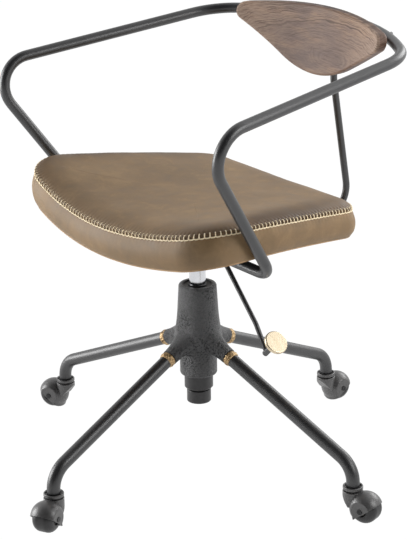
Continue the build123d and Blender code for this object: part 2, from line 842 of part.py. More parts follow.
# Moulded seat board with a flat landing for the plate
with BuildPart() as seat_board:
    add(seat_block(leather + loose_gap, base_z, board_low, base_z, board_high))
    with BuildSketch(Plane.XY.offset(plate_top_z)):
        with Locations((0, plate_shift_y)):
            RectangleRounded(plate_x + 2, plate_y + 2, plate_corner_r + 1)
    extrude(amount=board_thick / 2)
    with BuildSketch(Plane.XY.offset(plate_top_z)):
        with Locations((0, plate_shift_y)):
            RectangleRounded(plate_x + 2, plate_y + 2, plate_corner_r + 1)
    extrude(amount=-board_thick, mode=Mode.SUBTRACT)
    with BuildSketch(Plane.XY.offset(plate_top_z)):
        with Locations((0, plate_shift_y)):
            with GridLocations(bolt_x, bolt_y, 2, 2):
                Circle(bolt_d / 2)
    extrude(amount=bolt_grip, mode=Mode.SUBTRACT)
write(seat_board, "seat_board")

with BuildPart() as dust_cover:
    add(seat_block(dust_inset, base_z, 0, base_z, dust_cloth))
    with BuildSketch(Plane.XY.offset(plate_top_z - 50)):
        with Locations((0, plate_shift_y)):
            RectangleRounded(plate_x + 6, plate_y + 6, plate_corner_r + 3)
    extrude(amount=100, mode=Mode.SUBTRACT)
write(dust_cover, "dust_cover")

# Arm and back frame: one bent tube from the housing round the back
lean = math.radians(arm_lean)
arm_plane = Plane(origin=(0, 0, arm_plane_z), x_dir=(1, 0, 0), z_dir=(0, -math.sin(lean), math.cos(lean)))
rail_half = math.asin(back_rail_x / back_rail_r)
front_v = arm_front_y / math.cos(lean)
back_v = back_y / math.cos(lean)
apex_v = back_v + back_rail_r * (1 / math.cos(rail_half) - 1)
reach = (arm_front_x - arm_taper * (apex_v - front_v)) / (math.cos(rail_half) - arm_taper * math.sin(rail_half))
rear_x = reach * math.cos(rail_half)
rear_v = apex_v - reach * math.sin(rail_half)
arm_half = [
    Vector(housing_x / 2, arm_low_y, arm_low_z),
    Vector(arm_low_x, arm_low_y, arm_low_z),
    arm_plane.from_local_coords((arm_front_x, front_v)),
    arm_plane.from_local_coords((rear_x, rear_v)),
]
arm_points = arm_half + [arm_plane.from_local_coords((0, apex_v))]
arm_points += [Vector(-p.X, p.Y, p.Z) for p in reversed(arm_half)]
arm_radii = [arm_low_r, arm_front_r, arm_rear_r, back_rail_r, arm_rear_r, arm_front_r, arm_low_r]


screw_angles = [math.degrees(math.asin(x / back_rail_r)) for x in screw_xs]


def rail_plane(angle):
    """Plane at the back rail's centre line that faces outwards along its radius."""
    turn = math.radians(angle)
    outward = (math.sin(turn), math.cos(turn))
    centre_v = back_v - back_rail_r
    centre = arm_plane.from_local_coords((back_rail_r * outward[0], centre_v + back_rail_r * outward[1]))
    tip = arm_plane.from_local_coords(outward) - arm_plane.origin
    return Plane(origin=centre, x_dir=arm_plane.z_dir, z_dir=tip)


def arm_bar(diameter, bore=0.0):
    """The arm frame's bent path as a bar or a tube."""
    with BuildPart() as bar:
        with BuildLine() as path:
            FilletPolyline(*arm_points, radius=arm_radii)
        with BuildSketch(Plane(origin=path.line @ 0, z_dir=path.line % 0)):
            Circle(diameter / 2)
            if bore:
                Circle(bore / 2, mode=Mode.SUBTRACT)
        sweep()
    return bar.part


with BuildPart() as arm_frame:
    add(arm_bar(arm_d, arm_d - 2 * arm_wall))
    for angle in screw_angles:
        with BuildSketch(rail_plane(angle)):
            Circle(screw_d / 2 + running_gap)
        extrude(amount=arm_d, both=True, mode=Mode.SUBTRACT)
write(arm_frame, "arm_frame")

# Upright rod from the housing to the back rail
upright_y = rod_back_kink[0] + rod_back_lean * (rod_back_kink[1] - rod_back_z)
rail_middle = arm_plane.from_local_coords((0, back_v))
with BuildPart() as back_rod:
    with BuildLine(Plane.YZ) as rod_path:
        FilletPolyline(
            (housing_rear_y, rod_back_z),
            (upright_y, rod_back_z),
            rod_back_kink,
            (rail_middle.Y, rail_middle.Z),
            radius=[rod_back_low_r, rod_back_kink_r],
        )
    with BuildSketch(Plane(origin=rod_path.line @ 0, z_dir=rod_path.line % 0)):
        Circle(rod_back_d / 2)
    sweep()
    add(arm_bar(arm_d), mode=Mode.SUBTRACT)
write(back_rod, "back_rod")

# Bent wooden backrest in front of the rail
wood_rear_r = wood_front_r + wood_thick
tilt = math.radians(wood_lean)
flank = math.radians(wood_flank)
flank_x = wood_bottom_r * math.sin(flank)
flank_z = wood_bottom_z + wood_bottom_r * (1 - math.cos(flank))
tip_z = flank_z + (wood_tip_x - flank_x) * math.tan(flank)
wood_top_z = tip_z + wood_top_rise
wood_rear_y = rail_middle.Y - arm_d / 2 - wood_stand_off
bend_plane = Plane(
    origin=(0, wood_rear_y - wood_rear_r / math.cos(tilt), rail_middle.Z),
    x_dir=(1, 0, 0),
    z_dir=(0, math.sin(tilt), math.cos(tilt)),
)
screw_reach = arm_d / 2 + wood_stand_off + screw_bite
with BuildPart() as backrest:
    with BuildSketch(Plane.XZ.offset(-back_y / 3)) as outline:
        with BuildLine():
            ThreePointArc((-wood_tip_x, tip_z), (0, wood_top_z), (wood_tip_x, tip_z))
            Line((wood_tip_x, tip_z), (flank_x, flank_z))
            ThreePointArc((flank_x, flank_z), (0, wood_bottom_z), (-flank_x, flank_z))
            Line((-flank_x, flank_z), (-wood_tip_x, tip_z))
        make_face()
        tips = outline.vertices().sort_by(Axis.X)
        fillet([tips[0], tips[-1]], wood_tip_r)
    extrude(amount=-back_y)
    with BuildSketch(bend_plane):
        Circle(wood_rear_r)
        Circle(wood_front_r, mode=Mode.SUBTRACT)
    extrude(amount=wood_top_z, both=True, mode=Mode.INTERSECT)
    broad = backrest.faces().sort_by(SortBy.AREA)[-2:].sort_by(Axis.Y)
    fillet(broad[0].edges(), wood_edge_r)
    broad = backrest.faces().sort_by(SortBy.AREA)[-2:].sort_by(Axis.Y)
    fillet(broad[1].edges(), wood_back_r)
    for angle in screw_angles:
        with BuildSketch(rail_plane(angle)):
            Circle(screw_d / 2 + running_gap)
        extrude(amount=-screw_reach, mode=Mode.SUBTRACT)
write(backrest, "backrest")

# Spacer sleeves and screws between rail and backrest
with BuildPart() as back_spacers:
    for angle in screw_angles:
        with BuildSketch(rail_plane(angle)):
            Circle(spacer_d / 2)
            Circle(screw_d / 2 + running_gap, mode=Mode.SUBTRACT)
        extrude(amount=-screw_reach)
    with BuildSketch(bend_plane):
        Circle(wood_rear_r)
    extrude(amount=wood_top_z, both=True, mode=Mode.SUBTRACT)
    add(arm_bar(arm_d), mode=Mode.SUBTRACT)
write(back_spacers, "back_spacers")

with BuildPart() as backrest_screws:
    for angle in screw_angles:
        with BuildSketch(rail_plane(angle).offset(arm_d / 2)):
            Circle(screw_head_d / 2)
        extrude(amount=screw_head)
        with BuildSketch(rail_plane(angle).offset(arm_d / 2)):
            Circle(screw_d / 2)
        extrude(amount=-arm_d / 2 - screw_reach)
write(backrest_screws, "backrest_screws")
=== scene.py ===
import math

import bpy
import numpy as np
from mathutils import Matrix, Vector, noise


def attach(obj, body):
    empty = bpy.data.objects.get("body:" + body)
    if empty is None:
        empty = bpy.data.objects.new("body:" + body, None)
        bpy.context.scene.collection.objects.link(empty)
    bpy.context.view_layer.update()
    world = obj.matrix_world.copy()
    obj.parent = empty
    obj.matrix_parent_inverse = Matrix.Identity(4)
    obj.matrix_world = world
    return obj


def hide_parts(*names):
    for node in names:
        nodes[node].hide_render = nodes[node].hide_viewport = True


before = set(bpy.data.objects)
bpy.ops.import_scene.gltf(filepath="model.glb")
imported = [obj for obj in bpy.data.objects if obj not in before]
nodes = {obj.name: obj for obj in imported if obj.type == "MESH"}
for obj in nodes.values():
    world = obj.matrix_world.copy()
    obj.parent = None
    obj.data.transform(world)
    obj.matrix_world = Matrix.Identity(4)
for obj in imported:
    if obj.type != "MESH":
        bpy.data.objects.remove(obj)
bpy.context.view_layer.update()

MM = 0.001
names = ["left", "rear", "right", "front"]


# Colours and materials

def srgb(r, g, b):
    """Linear colour from 0-255 screen values."""
    def lin(v):
        v /= 255
        return v / 12.92 if v <= 0.04045 else ((v + 0.055) / 1.055) ** 2.4
    return (lin(r), lin(g), lin(b), 1.0)


class Graph:
    """Small helper to build a material's node tree."""

    def __init__(self, name, base=(0.5, 0.5, 0.5, 1), rough=0.5, metal=0.0):
        self.mat = bpy.data.materials.new(name)
        self.mat.use_nodes = True
        self.tree = self.mat.node_tree
        self.bsdf = self.tree.nodes["Principled BSDF"]
        self.bsdf.inputs["Base Color"].default_value = base
        self.bsdf.inputs["Roughness"].default_value = rough
        self.bsdf.inputs["Metallic"].default_value = metal

    def node(self, kind):
        return self.tree.nodes.new(kind)

    def colour(self, socket):
        self.link(socket, self.bsdf.inputs["Base Color"])

    def rough(self, fac, low, high):
        """Roughness between two values as fac goes from 0.3 to 0.7."""
        self.link(self.span(fac, 0.3, 0.7, low, high), self.bsdf.inputs["Roughness"])

    def link(self, a, b):
        self.tree.links.new(a, b)

    def coords(self, scale=(1, 1, 1), rot=(0, 0, 0), loc=(0, 0, 0)):
        tex = self.node("ShaderNodeTexCoord")
        mapping = self.node("ShaderNodeMapping")
        mapping.inputs["Scale"].default_value = scale
        mapping.inputs["Rotation"].default_value = rot
        mapping.inputs["Location"].default_value = loc
        self.link(tex.outputs["Object"], mapping.inputs["Vector"])
        return mapping.outputs["Vector"]

    def noise(self, vector, scale, detail=4.0, rough=0.55, distortion=0.0):
        n = self.node("ShaderNodeTexNoise")
        n.inputs["Scale"].default_value = scale
        n.inputs["Detail"].default_value = detail
        n.inputs["Roughness"].default_value = rough
        n.inputs["Distortion"].default_value = distortion
        self.link(vector, n.inputs["Vector"])
        return n.outputs["Fac"]

    def ramp(self, fac, stops):
        r = self.node("ShaderNodeValToRGB")
        self.link(fac, r.inputs["Fac"])
        elements = r.color_ramp.elements
        while len(elements) < len(stops):
            elements.new(0.5)
        for e, (pos, colour) in zip(elements, stops):
            e.position = pos
            e.color = colour if len(colour) == 4 else (*colour, 1)
        return r.outputs["Color"]

    def mix(self, fac, a, b, mode="MIX"):
        m = self.node("ShaderNodeMix")
        m.data_type = "RGBA"
        m.blend_type = mode
        for sock, value in ((m.inputs["Factor"], fac), (m.inputs[6], a), (m.inputs[7], b)):
            if isinstance(value, bpy.types.NodeSocket):
                self.link(value, sock)
            else:
                sock.default_value = value
        return m.outputs[2]

    def math(self, op, a, b=0.0):
        m = self.node("ShaderNodeMath")
        m.operation = op
        for sock, value in ((m.inputs[0], a), (m.inputs[1], b)):
            if isinstance(value, bpy.types.NodeSocket):
                self.link(value, sock)
            else:
                sock.default_value = value
        return m.outputs[0]

    def hypot(self, a, b):
        squares = self.math("ADD", self.math("MULTIPLY", a, a), self.math("MULTIPLY", b, b))
        return self.math("SQRT", squares)

    def span(self, value, low, high, start, end):
        """Maps low..high to start..end, clamped."""
        m = self.node("ShaderNodeMapRange")
        for key, v in (("From Min", low), ("From Max", high), ("To Min", start), ("To Max", end)):
            m.inputs[key].default_value = v
        self.link(value, m.inputs["Value"])
        return m.outputs["Result"]

    def bump(self, height, strength, distance):
        b = self.node("ShaderNodeBump")
        b.inputs["Strength"].default_value = strength
        b.inputs["Distance"].default_value = distance
        self.link(height, b.inputs["Height"])
        self.link(b.outputs["Normal"], self.bsdf.inputs["Normal"])


def grey(v):
    return (v, v, v, 1)


def make_paint(name, low, high, rough):
    """Satin dark paint with a faint cloud in tone and gloss."""
    g = Graph(name, high, rough)
    p = g.coords()
    g.colour(g.ramp(g.noise(p, 22, 2), [(0.35, low), (0.65, high)]))
    g.rough(g.noise(p, 14, 2), rough - 0.02, rough + 0.03)
    g.bsdf.inputs["Specular IOR Level"].default_value = 0.9
    return g.mat


def make_casting():
    """Painted cast iron: fine grit with scattered pits, glossier on the high spots."""
    g = Graph("hub_casting", srgb(54, 54, 55), 0.5)
    p = g.coords()
    grit = g.noise(p, 760, 3, 0.6)
    dimple = g.noise(p, 230, 4, 0.7)
    both = g.math("ADD", g.math("MULTIPLY", grit, 0.55), g.math("MULTIPLY", dimple, 0.45))
    crowd = g.span(g.noise(p, 26, 2, 0.5), 0.44, 0.60, 0.1, 1.0)
    # painted shade: the pits are coloured near-black and lose most of their gloss
    pits = g.math("MULTIPLY", g.span(g.noise(p, 300, 2, 0.5), 0.47, 0.37, 0.0, 0.75), crowd)
    skin = g.ramp(both, [(0.38, srgb(30, 30, 31)), (0.47, srgb(55, 55, 56)), (0.68, srgb(74, 74, 76))])
    g.colour(g.mix(pits, skin, srgb(12, 12, 13)))
    g.rough(both, 0.52, 0.30)
    g.bump(g.math("SUBTRACT", both, g.math("MULTIPLY", pits, 0.5)), 1.0, 0.0042)
    g.link(g.span(pits, 0.0, 1.0, 0.85, 0.1), g.bsdf.inputs["Specular IOR Level"])
    return g.mat


def make_braze():
    """Brazed bronze: tan and gold lumps with dark flux marks."""
    g = Graph("braze", srgb(178, 150, 110), 0.4, 0.6)
    p = g.coords()
    n = g.noise(p, 170, 5, 0.72, 0.9)
    stops = [(0.34, srgb(60, 47, 36)), (0.44, srgb(158, 128, 90)), (0.56, srgb(208, 178, 132))]
    g.colour(g.ramp(n, stops + [(0.7, srgb(236, 214, 178))]))
    g.bump(n, 0.6, 0.0014)
    return g.mat


def make_brass():
    """Brushed pale brass."""
    g = Graph("brass", srgb(228, 206, 166), 0.4, 1.0)
    p = g.coords(scale=(1, 4, 1))
    brushed = g.noise(p, 26, 2, 0.5)
    g.colour(g.ramp(brushed, [(0.3, srgb(212, 196, 167)), (0.7, srgb(220, 206, 181))]))
    g.rough(brushed, 0.36, 0.40)
    return g.mat


def make_metal(name, low, high, rough, metal, scale):
    """Metal or plastic with a mottled tone and gloss."""
    g = Graph(name, high, rough, metal)
    n = g.noise(g.coords(), scale, 4, 0.6)
    g.colour(g.ramp(n, [(0.35, low), (0.65, high)]))
    g.rough(n, rough * 0.85, rough * 1.2)
    return g.mat


def make_thread():
    """Cream linen thread."""
    g = Graph("thread", srgb(238, 218, 180), 0.7)
    n = g.noise(g.coords(), 900, 3)
    g.colour(g.ramp(n, [(0.3, srgb(246, 223, 182)), (0.7, srgb(255, 240, 210))]))
    g.bump(n, 0.3, 0.0005)
    return g.mat


def make_lining():
    """Black woven dust cover."""
    g = Graph("lining", srgb(36, 36, 36), 0.92)
    weave = g.node("ShaderNodeTexChecker")
    weave.inputs["Scale"].default_value = 900
    g.link(g.coords(), weave.inputs["Vector"])
    g.colour(g.ramp(weave.outputs["Fac"], [(0.2, srgb(30, 30, 30)), (0.8, srgb(42, 42, 42))]))
    g.bump(weave.outputs["Fac"], 0.3, 0.0004)
    return g.mat


def make_leather():
    """Pull-up leather: cloudy brown with fine grain, and painted shade over the rim above the seam."""
    g = Graph("leather", srgb(140, 114, 86), 0.46)
    p = g.coords()
    cloud = g.noise(p, 8, 4, 0.55, 0.3)
    patch = g.noise(p, 34, 5, 0.62, 0.5)
    wide_tones = [(0.32, srgb(117, 95, 66)), (0.5, srgb(136, 110, 77)), (0.68, srgb(156, 128, 91))]
    small_tones = [(0.3, srgb(112, 90, 62)), (0.55, srgb(136, 110, 78)), (0.75, srgb(164, 136, 99))]
    skin = g.mix(0.5, g.ramp(cloud, wide_tones), g.ramp(patch, small_tones))
    # painted shade: the rim attribute tints the leather darker over the rim
    rim_shade_node = g.node("ShaderNodeAttribute")
    rim_shade_node.attribute_name = "rim"
    rim_shade_tint = g.mix(rim_shade_node.outputs["Fac"], grey(1.0), srgb(146, 131, 116))
    g.colour(g.mix(1.0, skin, rim_shade_tint, "MULTIPLY"))
    pores = g.node("ShaderNodeTexVoronoi")
    pores.feature = "DISTANCE_TO_EDGE"
    pores.inputs["Scale"].default_value = 620
    g.link(p, pores.inputs["Vector"])
    cells = g.math("MULTIPLY", g.math("MINIMUM", pores.outputs["Distance"], 0.25), 1.2)
    fine = g.noise(p, 240, 5, 0.65)
    g.bump(g.math("ADD", cells, fine), 0.14, 0.0011)
    g.rough(patch, 0.52, 0.64)
    g.bsdf.inputs["Specular IOR Level"].default_value = 0.42
    return g.mat


def make_wood():
    """Oiled walnut: near-level streaks on top that bend round a quiet figure low in the middle."""
    g = Graph("walnut", srgb(150, 126, 112), 0.4)
    tex = g.node("ShaderNodeTexCoord")
    sep = g.node("ShaderNodeSeparateXYZ")
    g.link(tex.outputs["Object"], sep.inputs[0])
    x, y, z = sep.outputs["X"], sep.outputs["Y"], sep.outputs["Z"]
    drift = g.noise(g.coords(scale=(1.0, 1.0, 1.8)), 8, 3, 0.5, 0.2)
    wobble = g.noise(g.coords(scale=(1.4, 2.0, 5.0)), 18, 4, 0.6)
    figure_x, figure_z, figure_squeeze = 0.052, 0.672, 0.26
    dx = g.math("MULTIPLY", g.math("SUBTRACT", x, figure_x), figure_squeeze)
    dz = g.math("SUBTRACT", z, figure_z)
    field = g.math("ADD", g.hypot(dx, dz), g.math("MULTIPLY", drift, 0.034))
    field = g.math("ADD", field, g.math("MULTIPLY", wobble, 0.005))
    rings = g.node("ShaderNodeTexNoise")
    rings.noise_dimensions = "1D"
    rings.inputs["Scale"].default_value = 440
    rings.inputs["Detail"].default_value = 5
    rings.inputs["Roughness"].default_value = 0.66
    g.link(field, rings.inputs["W"])
    streak = rings.outputs["Fac"]
    fibre = g.noise(g.coords(scale=(10, 30, 190)), 3.4, 5, 0.7)
    broad = g.noise(g.coords(scale=(2.4, 4, 9)), 3.4, 4, 0.6)
    broken = g.noise(g.coords(scale=(1, 2, 4)), 16, 3, 0.6)
    tan = [(0.30, srgb(112, 91, 82)), (0.50, srgb(133, 108, 93)), (0.70, srgb(164, 132, 105))]
    # painted light: the board is made paler towards both ends
    reach = g.math("ABSOLUTE", x)
    base = g.mix(g.span(reach, 0.06, 0.2, 0.0, 0.75), g.ramp(broad, tan), srgb(198, 173, 153))
    dark = [(0.34, srgb(132, 121, 119)), (0.46, srgb(214, 207, 205)), (0.56, grey(1.0))]
    lines = g.ramp(streak, dark)
    pores = g.ramp(fibre, [(0.34, srgb(190, 179, 175)), (0.52, grey(1.0))])
    level = g.span(z, 0.685, 0.735, 0.35, 1.1)
    strength = g.math("MULTIPLY", level, g.span(broken, 0.36, 0.60, 0.2, 0.85))
    colour = g.mix(strength, base, g.mix(1.0, base, lines, "MULTIPLY"))
    colour = g.mix(0.8, colour, pores, "MULTIPLY")
    # the edge between the front and rear faces is darkened: painted shade on the board's thickness
    lean = math.radians(13.5)
    bend_y, bend_z, bend_radius = -0.2200, 0.7272, 0.470
    level_part = g.math("MULTIPLY", g.math("SUBTRACT", y, bend_y), math.cos(lean))
    upright_part = g.math("MULTIPLY", g.math("SUBTRACT", z, bend_z), math.sin(lean))
    depth = g.math("SUBTRACT", g.hypot(x, g.math("SUBTRACT", level_part, upright_part)), bend_radius)
    side = g.span(depth, 0.0022, 0.0060, 0.0, 0.85)
    g.colour(g.mix(side, colour, g.mix(1.0, colour, srgb(150, 128, 116), "MULTIPLY")))
    g.rough(streak, 0.58, 0.48)
    g.bsdf.inputs["Specular IOR Level"].default_value = 0.32
    g.bump(g.math("ADD", fibre, streak), 0.06, 0.0006)
    return g.mat


tube_paint = make_paint("tube_paint", srgb(34, 34, 36), srgb(40, 40, 42), 0.39)
leg_paint = make_paint("leg_paint", srgb(29, 29, 31), srgb(35, 35, 37), 0.40)
casting = make_casting()
braze = make_braze()
brass = make_brass()
leather = make_leather()
wood = make_wood()
thread = make_thread()
lining = make_lining()
chrome = make_metal("chrome", srgb(204, 205, 208), srgb(214, 215, 218), 0.15, 1.0, 30)
steel = make_metal("steel", srgb(138, 138, 140), srgb(156, 156, 158), 0.3, 1.0, 90)
plastic = make_metal("plastic", srgb(28, 28, 29), srgb(36, 36, 37), 0.42, 0.0, 300)
sleeve = make_metal("sleeve", srgb(38, 37, 38), srgb(47, 46, 47), 0.36, 0.0, 120)
hood_metal = make_paint("hood_metal", srgb(68, 67, 67), srgb(75, 74, 74), 0.38)
rivet = make_metal("rivet", srgb(46, 46, 47), srgb(64, 64, 65), 0.32, 0.8, 200)
wheel_rubber = make_metal("wheel_tread", srgb(36, 36, 37), srgb(43, 42, 43), 0.4, 0.0, 40)
plywood = make_metal("plywood", srgb(160, 128, 92), srgb(184, 150, 112), 0.6, 0.0, 60)

finish = {
    "base_hub": casting, "weld_beads": braze, "leg_collars": hood_metal, "stem_sockets": plastic,
    "stand_tube": sleeve, "column_cap": sleeve, "guide_bush": plastic, "gas_cylinder": chrome,
    "mechanism_housing": tube_paint, "seat_plate": tube_paint, "seat_board": plywood,
    "dust_cover": lining, "arm_frame": tube_paint, "back_rod": leg_paint, "backrest": wood,
    "lever_rod": leg_paint, "lever_stub": leg_paint, "lever_knob": brass, "seat_cover": leather,
    "seat_foam": leather, "cylinder_gland": plastic, "piston": plastic,
}
for n in names:
    finish[f"leg_{n}"] = leg_paint
    finish[f"caster_hood_{n}"] = hood_metal
    finish[f"caster_wheel_{n}"] = wheel_rubber
    finish[f"caster_axle_{n}"] = rivet
for n, obj in nodes.items():
    obj.data.materials.clear()
    obj.data.materials.append(finish.get(n, steel))
    obj.data.shade_smooth()
    obj.data.set_sharp_from_angle(angle=math.radians(32))


def new_mesh(name, verts, faces, mat, body):
    """A smooth piece in metres that rides on a body."""
    mesh = bpy.data.meshes.new(name)
    mesh.from_pydata([tuple(v) for v in verts], [], faces)
    mesh.validate()
    mesh.materials.append(mat)
    mesh.shade_smooth()
    obj = bpy.data.objects.new(name, mesh)
    bpy.context.scene.collection.objects.link(obj)
    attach(obj, body)
    return obj


# Seat: one upholstered form with its seam, and a hand-stitched thread. Sizes in millimetres.

front_y = -198           # middle of the front and rear edges
rear_y = 193
front_corner = (271, -167)
rear_corner = (193, 190)
side_bow = 5             # how far the sides bow out between the corners
corner_radii = [72, 58, 58, 72]
half_width = 250         # where the heights below are measured
half_depth = 200
seam_middle_z = 467.6
dish_front = 35.8        # rise of the seam from the middle to the sides
dish_rear = 5.0
band_middle = 43         # height of the side band
rim_width = 48.0         # rounding from the seam to the top
crown = 18.0
stitches = 190
per_stitch = 6           # points of the outline for each stitch
arm_y = -72              # where the arm tubes press on the band
arm_press = 38


def seam_z(x, y):
    t = np.clip((y - front_y) / (rear_y - front_y), 0, 1)
    dish = dish_front * (1 - t) + dish_rear * t
    return seam_middle_z + dish * (x / half_width) ** 2 - 0.017 * y - 9.3 * (y / half_depth) ** 2


def band_height(x, y):
    return band_middle - 0.0133 * y + 5.3 * ((x / half_width) ** 2 + (y / half_depth) ** 2)


def arc3(a, b, c, n=900):
    """Points on the circle through three points."""
    (ax, ay), (bx, by), (cx, cy) = a, b, c
    d = 2 * (ax * (by - cy) + bx * (cy - ay) + cx * (ay - by))
    aa, bb, cc = ax * ax + ay * ay, bx * bx + by * by, cx * cx + cy * cy
    ux = (aa * (by - cy) + bb * (cy - ay) + cc * (ay - by)) / d
    uy = (aa * (cx - bx) + bb * (ax - cx) + cc * (bx - ax)) / d
    r = math.hypot(ax - ux, ay - uy)
    t0 = math.atan2(ay - uy, ax - ux)
    t1 = math.atan2(cy - uy, cx - ux)
    turn = (t1 - t0 + math.pi) % (2 * math.pi) - math.pi
    t = t0 + turn * np.linspace(0, 1, n)
    return np.stack([ux + r * np.cos(t), uy + r * np.sin(t)], 1)


def inward(line):
    """Unit normals on the left of a line that runs anticlockwise."""
    d = np.gradient(line, axis=0)
    d /= np.linalg.norm(d, axis=1)[:, None]
    return np.stack([-d[:, 1], d[:, 0]], 1)


def round_corner(first, second, r, n=80):
    """Cuts two lines that meet at a corner back to a tangent arc of radius r."""
    a = first + inward(first) * r
    b = second + inward(second) * r
    gap = np.linalg.norm(a[:, None] - b[None], axis=2)
    i, j = np.unravel_index(gap.argmin(), gap.shape)
    centre = (a[i] + b[j]) / 2
    t0 = math.atan2(*(first[i] - centre)[::-1])
    t1 = math.atan2(*(second[j] - centre)[::-1])
    turn = (t1 - t0 + math.pi) % (2 * math.pi) - math.pi
    t = t0 + turn * np.linspace(0, 1, n)
    return i, j, centre + r * np.stack([np.cos(t), np.sin(t)], 1)


def seat_outline(count):
    """Closed plan of the seat, evenly spaced and anticlockwise, with outward normals."""
    fx, fy = front_corner
    rx, ry = rear_corner
    mx, my = (fx + rx) / 2 + side_bow, (fy + ry) / 2
    sides = [
        arc3((-fx, fy), (0, front_y), (fx, fy)),
        arc3((fx, fy), (mx, my), (rx, ry)),
        arc3((rx, ry), (0, rear_y), (-rx, ry)),
        arc3((-rx, ry), (-mx, my), (-fx, fy)),
    ]
    cuts = [round_corner(sides[k], sides[(k + 1) % 4], corner_radii[k]) for k in range(4)]
    loop = []
    for k in range(4):
        start = cuts[k - 1][1]
        stop = cuts[k][0]
        loop += [sides[k][start:stop], cuts[k][2]]
    loop = np.concatenate(loop)
    closed = np.vstack([loop, loop[:1]])
    run = np.concatenate([[0], np.cumsum(np.linalg.norm(np.diff(closed, axis=0), axis=1))])
    s = np.linspace(0, run[-1], count, endpoint=False)
    pts = np.stack([np.interp(s, run, closed[:, 0]), np.interp(s, run, closed[:, 1])], 1)
    tangent = np.roll(pts, -2, 0) - np.roll(pts, 2, 0)
    tangent /= np.linalg.norm(tangent, axis=1)[:, None]
    return pts, np.stack([tangent[:, 1], -tangent[:, 0]], 1)


plan, outward = seat_outline(stitches * per_stitch)


def ring_at(inset, ref, dz, dent=0.0):
    """One ring of the seat's skin: inset from the plan, height above the base or the seam."""
    phase = np.arange(len(plan)) / per_stitch
    pull = dent * (0.5 + 0.5 * np.cos(2 * math.pi * phase))
    xy = plan - outward * (inset + pull)[:, None]
    z = seam_z(xy[:, 0], xy[:, 1])
    band = band_height(xy[:, 0], xy[:, 1])
    if ref == "base":
        z = z - band + dz
    elif ref == "band":
        z = z - band * (1 - dz)
    else:
        z = z + dz
    return np.column_stack([xy, z])


def band_swell():
    """How far the band may bulge: full in the open, none where an arm tube presses on it."""
    beside = np.abs(plan[:, 0]) > 150
    press = np.where(beside, np.exp(-((plan[:, 1] - arm_y) / arm_press) ** 2), 0)
    return 1 - 1.1 * press


def build_seat():
    """The skin from its lower edge, up the band, over the seam and the rim, to the middle of the top."""
    swell = band_swell()
    rings = []
    # lower edge: inset, bulge and height over the base
    lower = ((17, 0, 0.4), (11, 0, 0.1), (7, 0, 0.2), (4, 0, 1.4), (2, 0.4, 3.6), (0.6, 1.2, 7))
    for inset, bulge, dz in lower:
        rings.append(ring_at(inset - bulge * swell, "base", dz))
    for share, bulge in ((0.24, 3.4), (0.34, 4.8), (0.45, 5.6), (0.56, 5.7), (0.67, 5.0), (0.77, 3.6)):
        rings.append(ring_at(-bulge * swell, "band", share))
    # seam groove: inset, bulge, height over the seam and pucker at the stitches
    groove = (
        (0, 1.8, -6.0, 0.2), (0, 0.9, -3.6, 0.5), (0.2, 0, -1.8, 0.6), (0.9, 0, -0.6, 0.3),
        (1.1, 0, 0.2, 0.0), (0.7, 0, 1.2, 0.4), (0.5, 0, 2.6, 0.9), (0.6, 0, 4.4, 1.1),
    )
    for inset, bulge, dz, dent in groove:
        rings.append(ring_at(inset - bulge * swell, "seam", dz, dent))
    above_seam = 4
    edge = [0.0] * (len(rings) - above_seam) + [4.0] * above_seam
    for deg in (19, 25, 31, 37, 43, 49, 55, 61, 67, 73, 79, 85, 90):
        t = math.radians(deg)
        inset = rim_width * (1 - math.cos(t))
        dent = 1.1 if deg < 30 else (0.7 if deg < 40 else (0.3 if deg < 48 else 0.0))
        rings.append(ring_at(inset, "seam", crown * math.sin(t), dent))
        edge.append(inset + 4)
    depth = [np.full(len(plan), d) for d in edge]
    last = rings[-1]
    middle = last[:, :2].mean(0)
    for s in (0.94, 0.87, 0.79, 0.7, 0.6, 0.49, 0.37, 0.24, 0.11):
        xy = middle + (last[:, :2] - middle) * s
        rings.append(np.column_stack([xy, seam_z(xy[:, 0], xy[:, 1]) + crown]))
        depth.append(rim_width + (1 - s) * np.linalg.norm(last[:, :2] - middle, axis=1))
    n = len(plan)
    verts = np.concatenate(rings)
    for k, v in enumerate(verts):
        q = Vector((v[0] / 70, v[1] / 70, v[2] / 70))
        soft = noise.noise(q) * 0.9 + noise.noise(q * 2.7) * 0.35
        if v[2] > seam_z(v[0], v[1]) + 8:
            verts[k, 2] += soft
    top = len(verts)
    under = top + 1
    floor_z = seam_z(*middle) - band_height(*middle) + 0.5
    verts = np.vstack([verts, [*middle, seam_z(*middle) + crown], [*middle, floor_z]])
    faces = []
    for k in range(len(rings) - 1):
        for i in range(n):
            j = (i + 1) % n
            faces.append((k * n + i, k * n + j, (k + 1) * n + j, (k + 1) * n + i))
    end = (len(rings) - 1) * n
    for i in range(n):
        j = (i + 1) % n
        faces.append((end + i, end + j, top))
        faces.append((j, i, under))
    seat = new_mesh("leather_seat", verts * MM, faces, leather, "seat")
    # painted shade for the leather: darkest just above the seam and fading over the rim, strongest along
    # the sides and near the corners, weakest across the middle of the front and back
    shade = np.interp(np.concatenate(depth), [0, 4, 26, 66], [0, 1, 0.85, 0])
    beside = np.interp(np.abs(verts[:-2, 0]), [150, 230], [0, 1])
    behind = np.interp(verts[:-2, 1], [-190, -60], [0, 1])
    corner = np.interp(np.abs(verts[:-2, 0]), [130, 230], [0, 0.65])
    rim = np.concatenate([shade * (0.25 + 0.7 * np.maximum(beside * behind, corner)), [0, 0]])
    seat.data.attributes.new("rim", "FLOAT", "POINT").data.foreach_set("value", rim)
    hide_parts("seat_cover", "seat_foam")


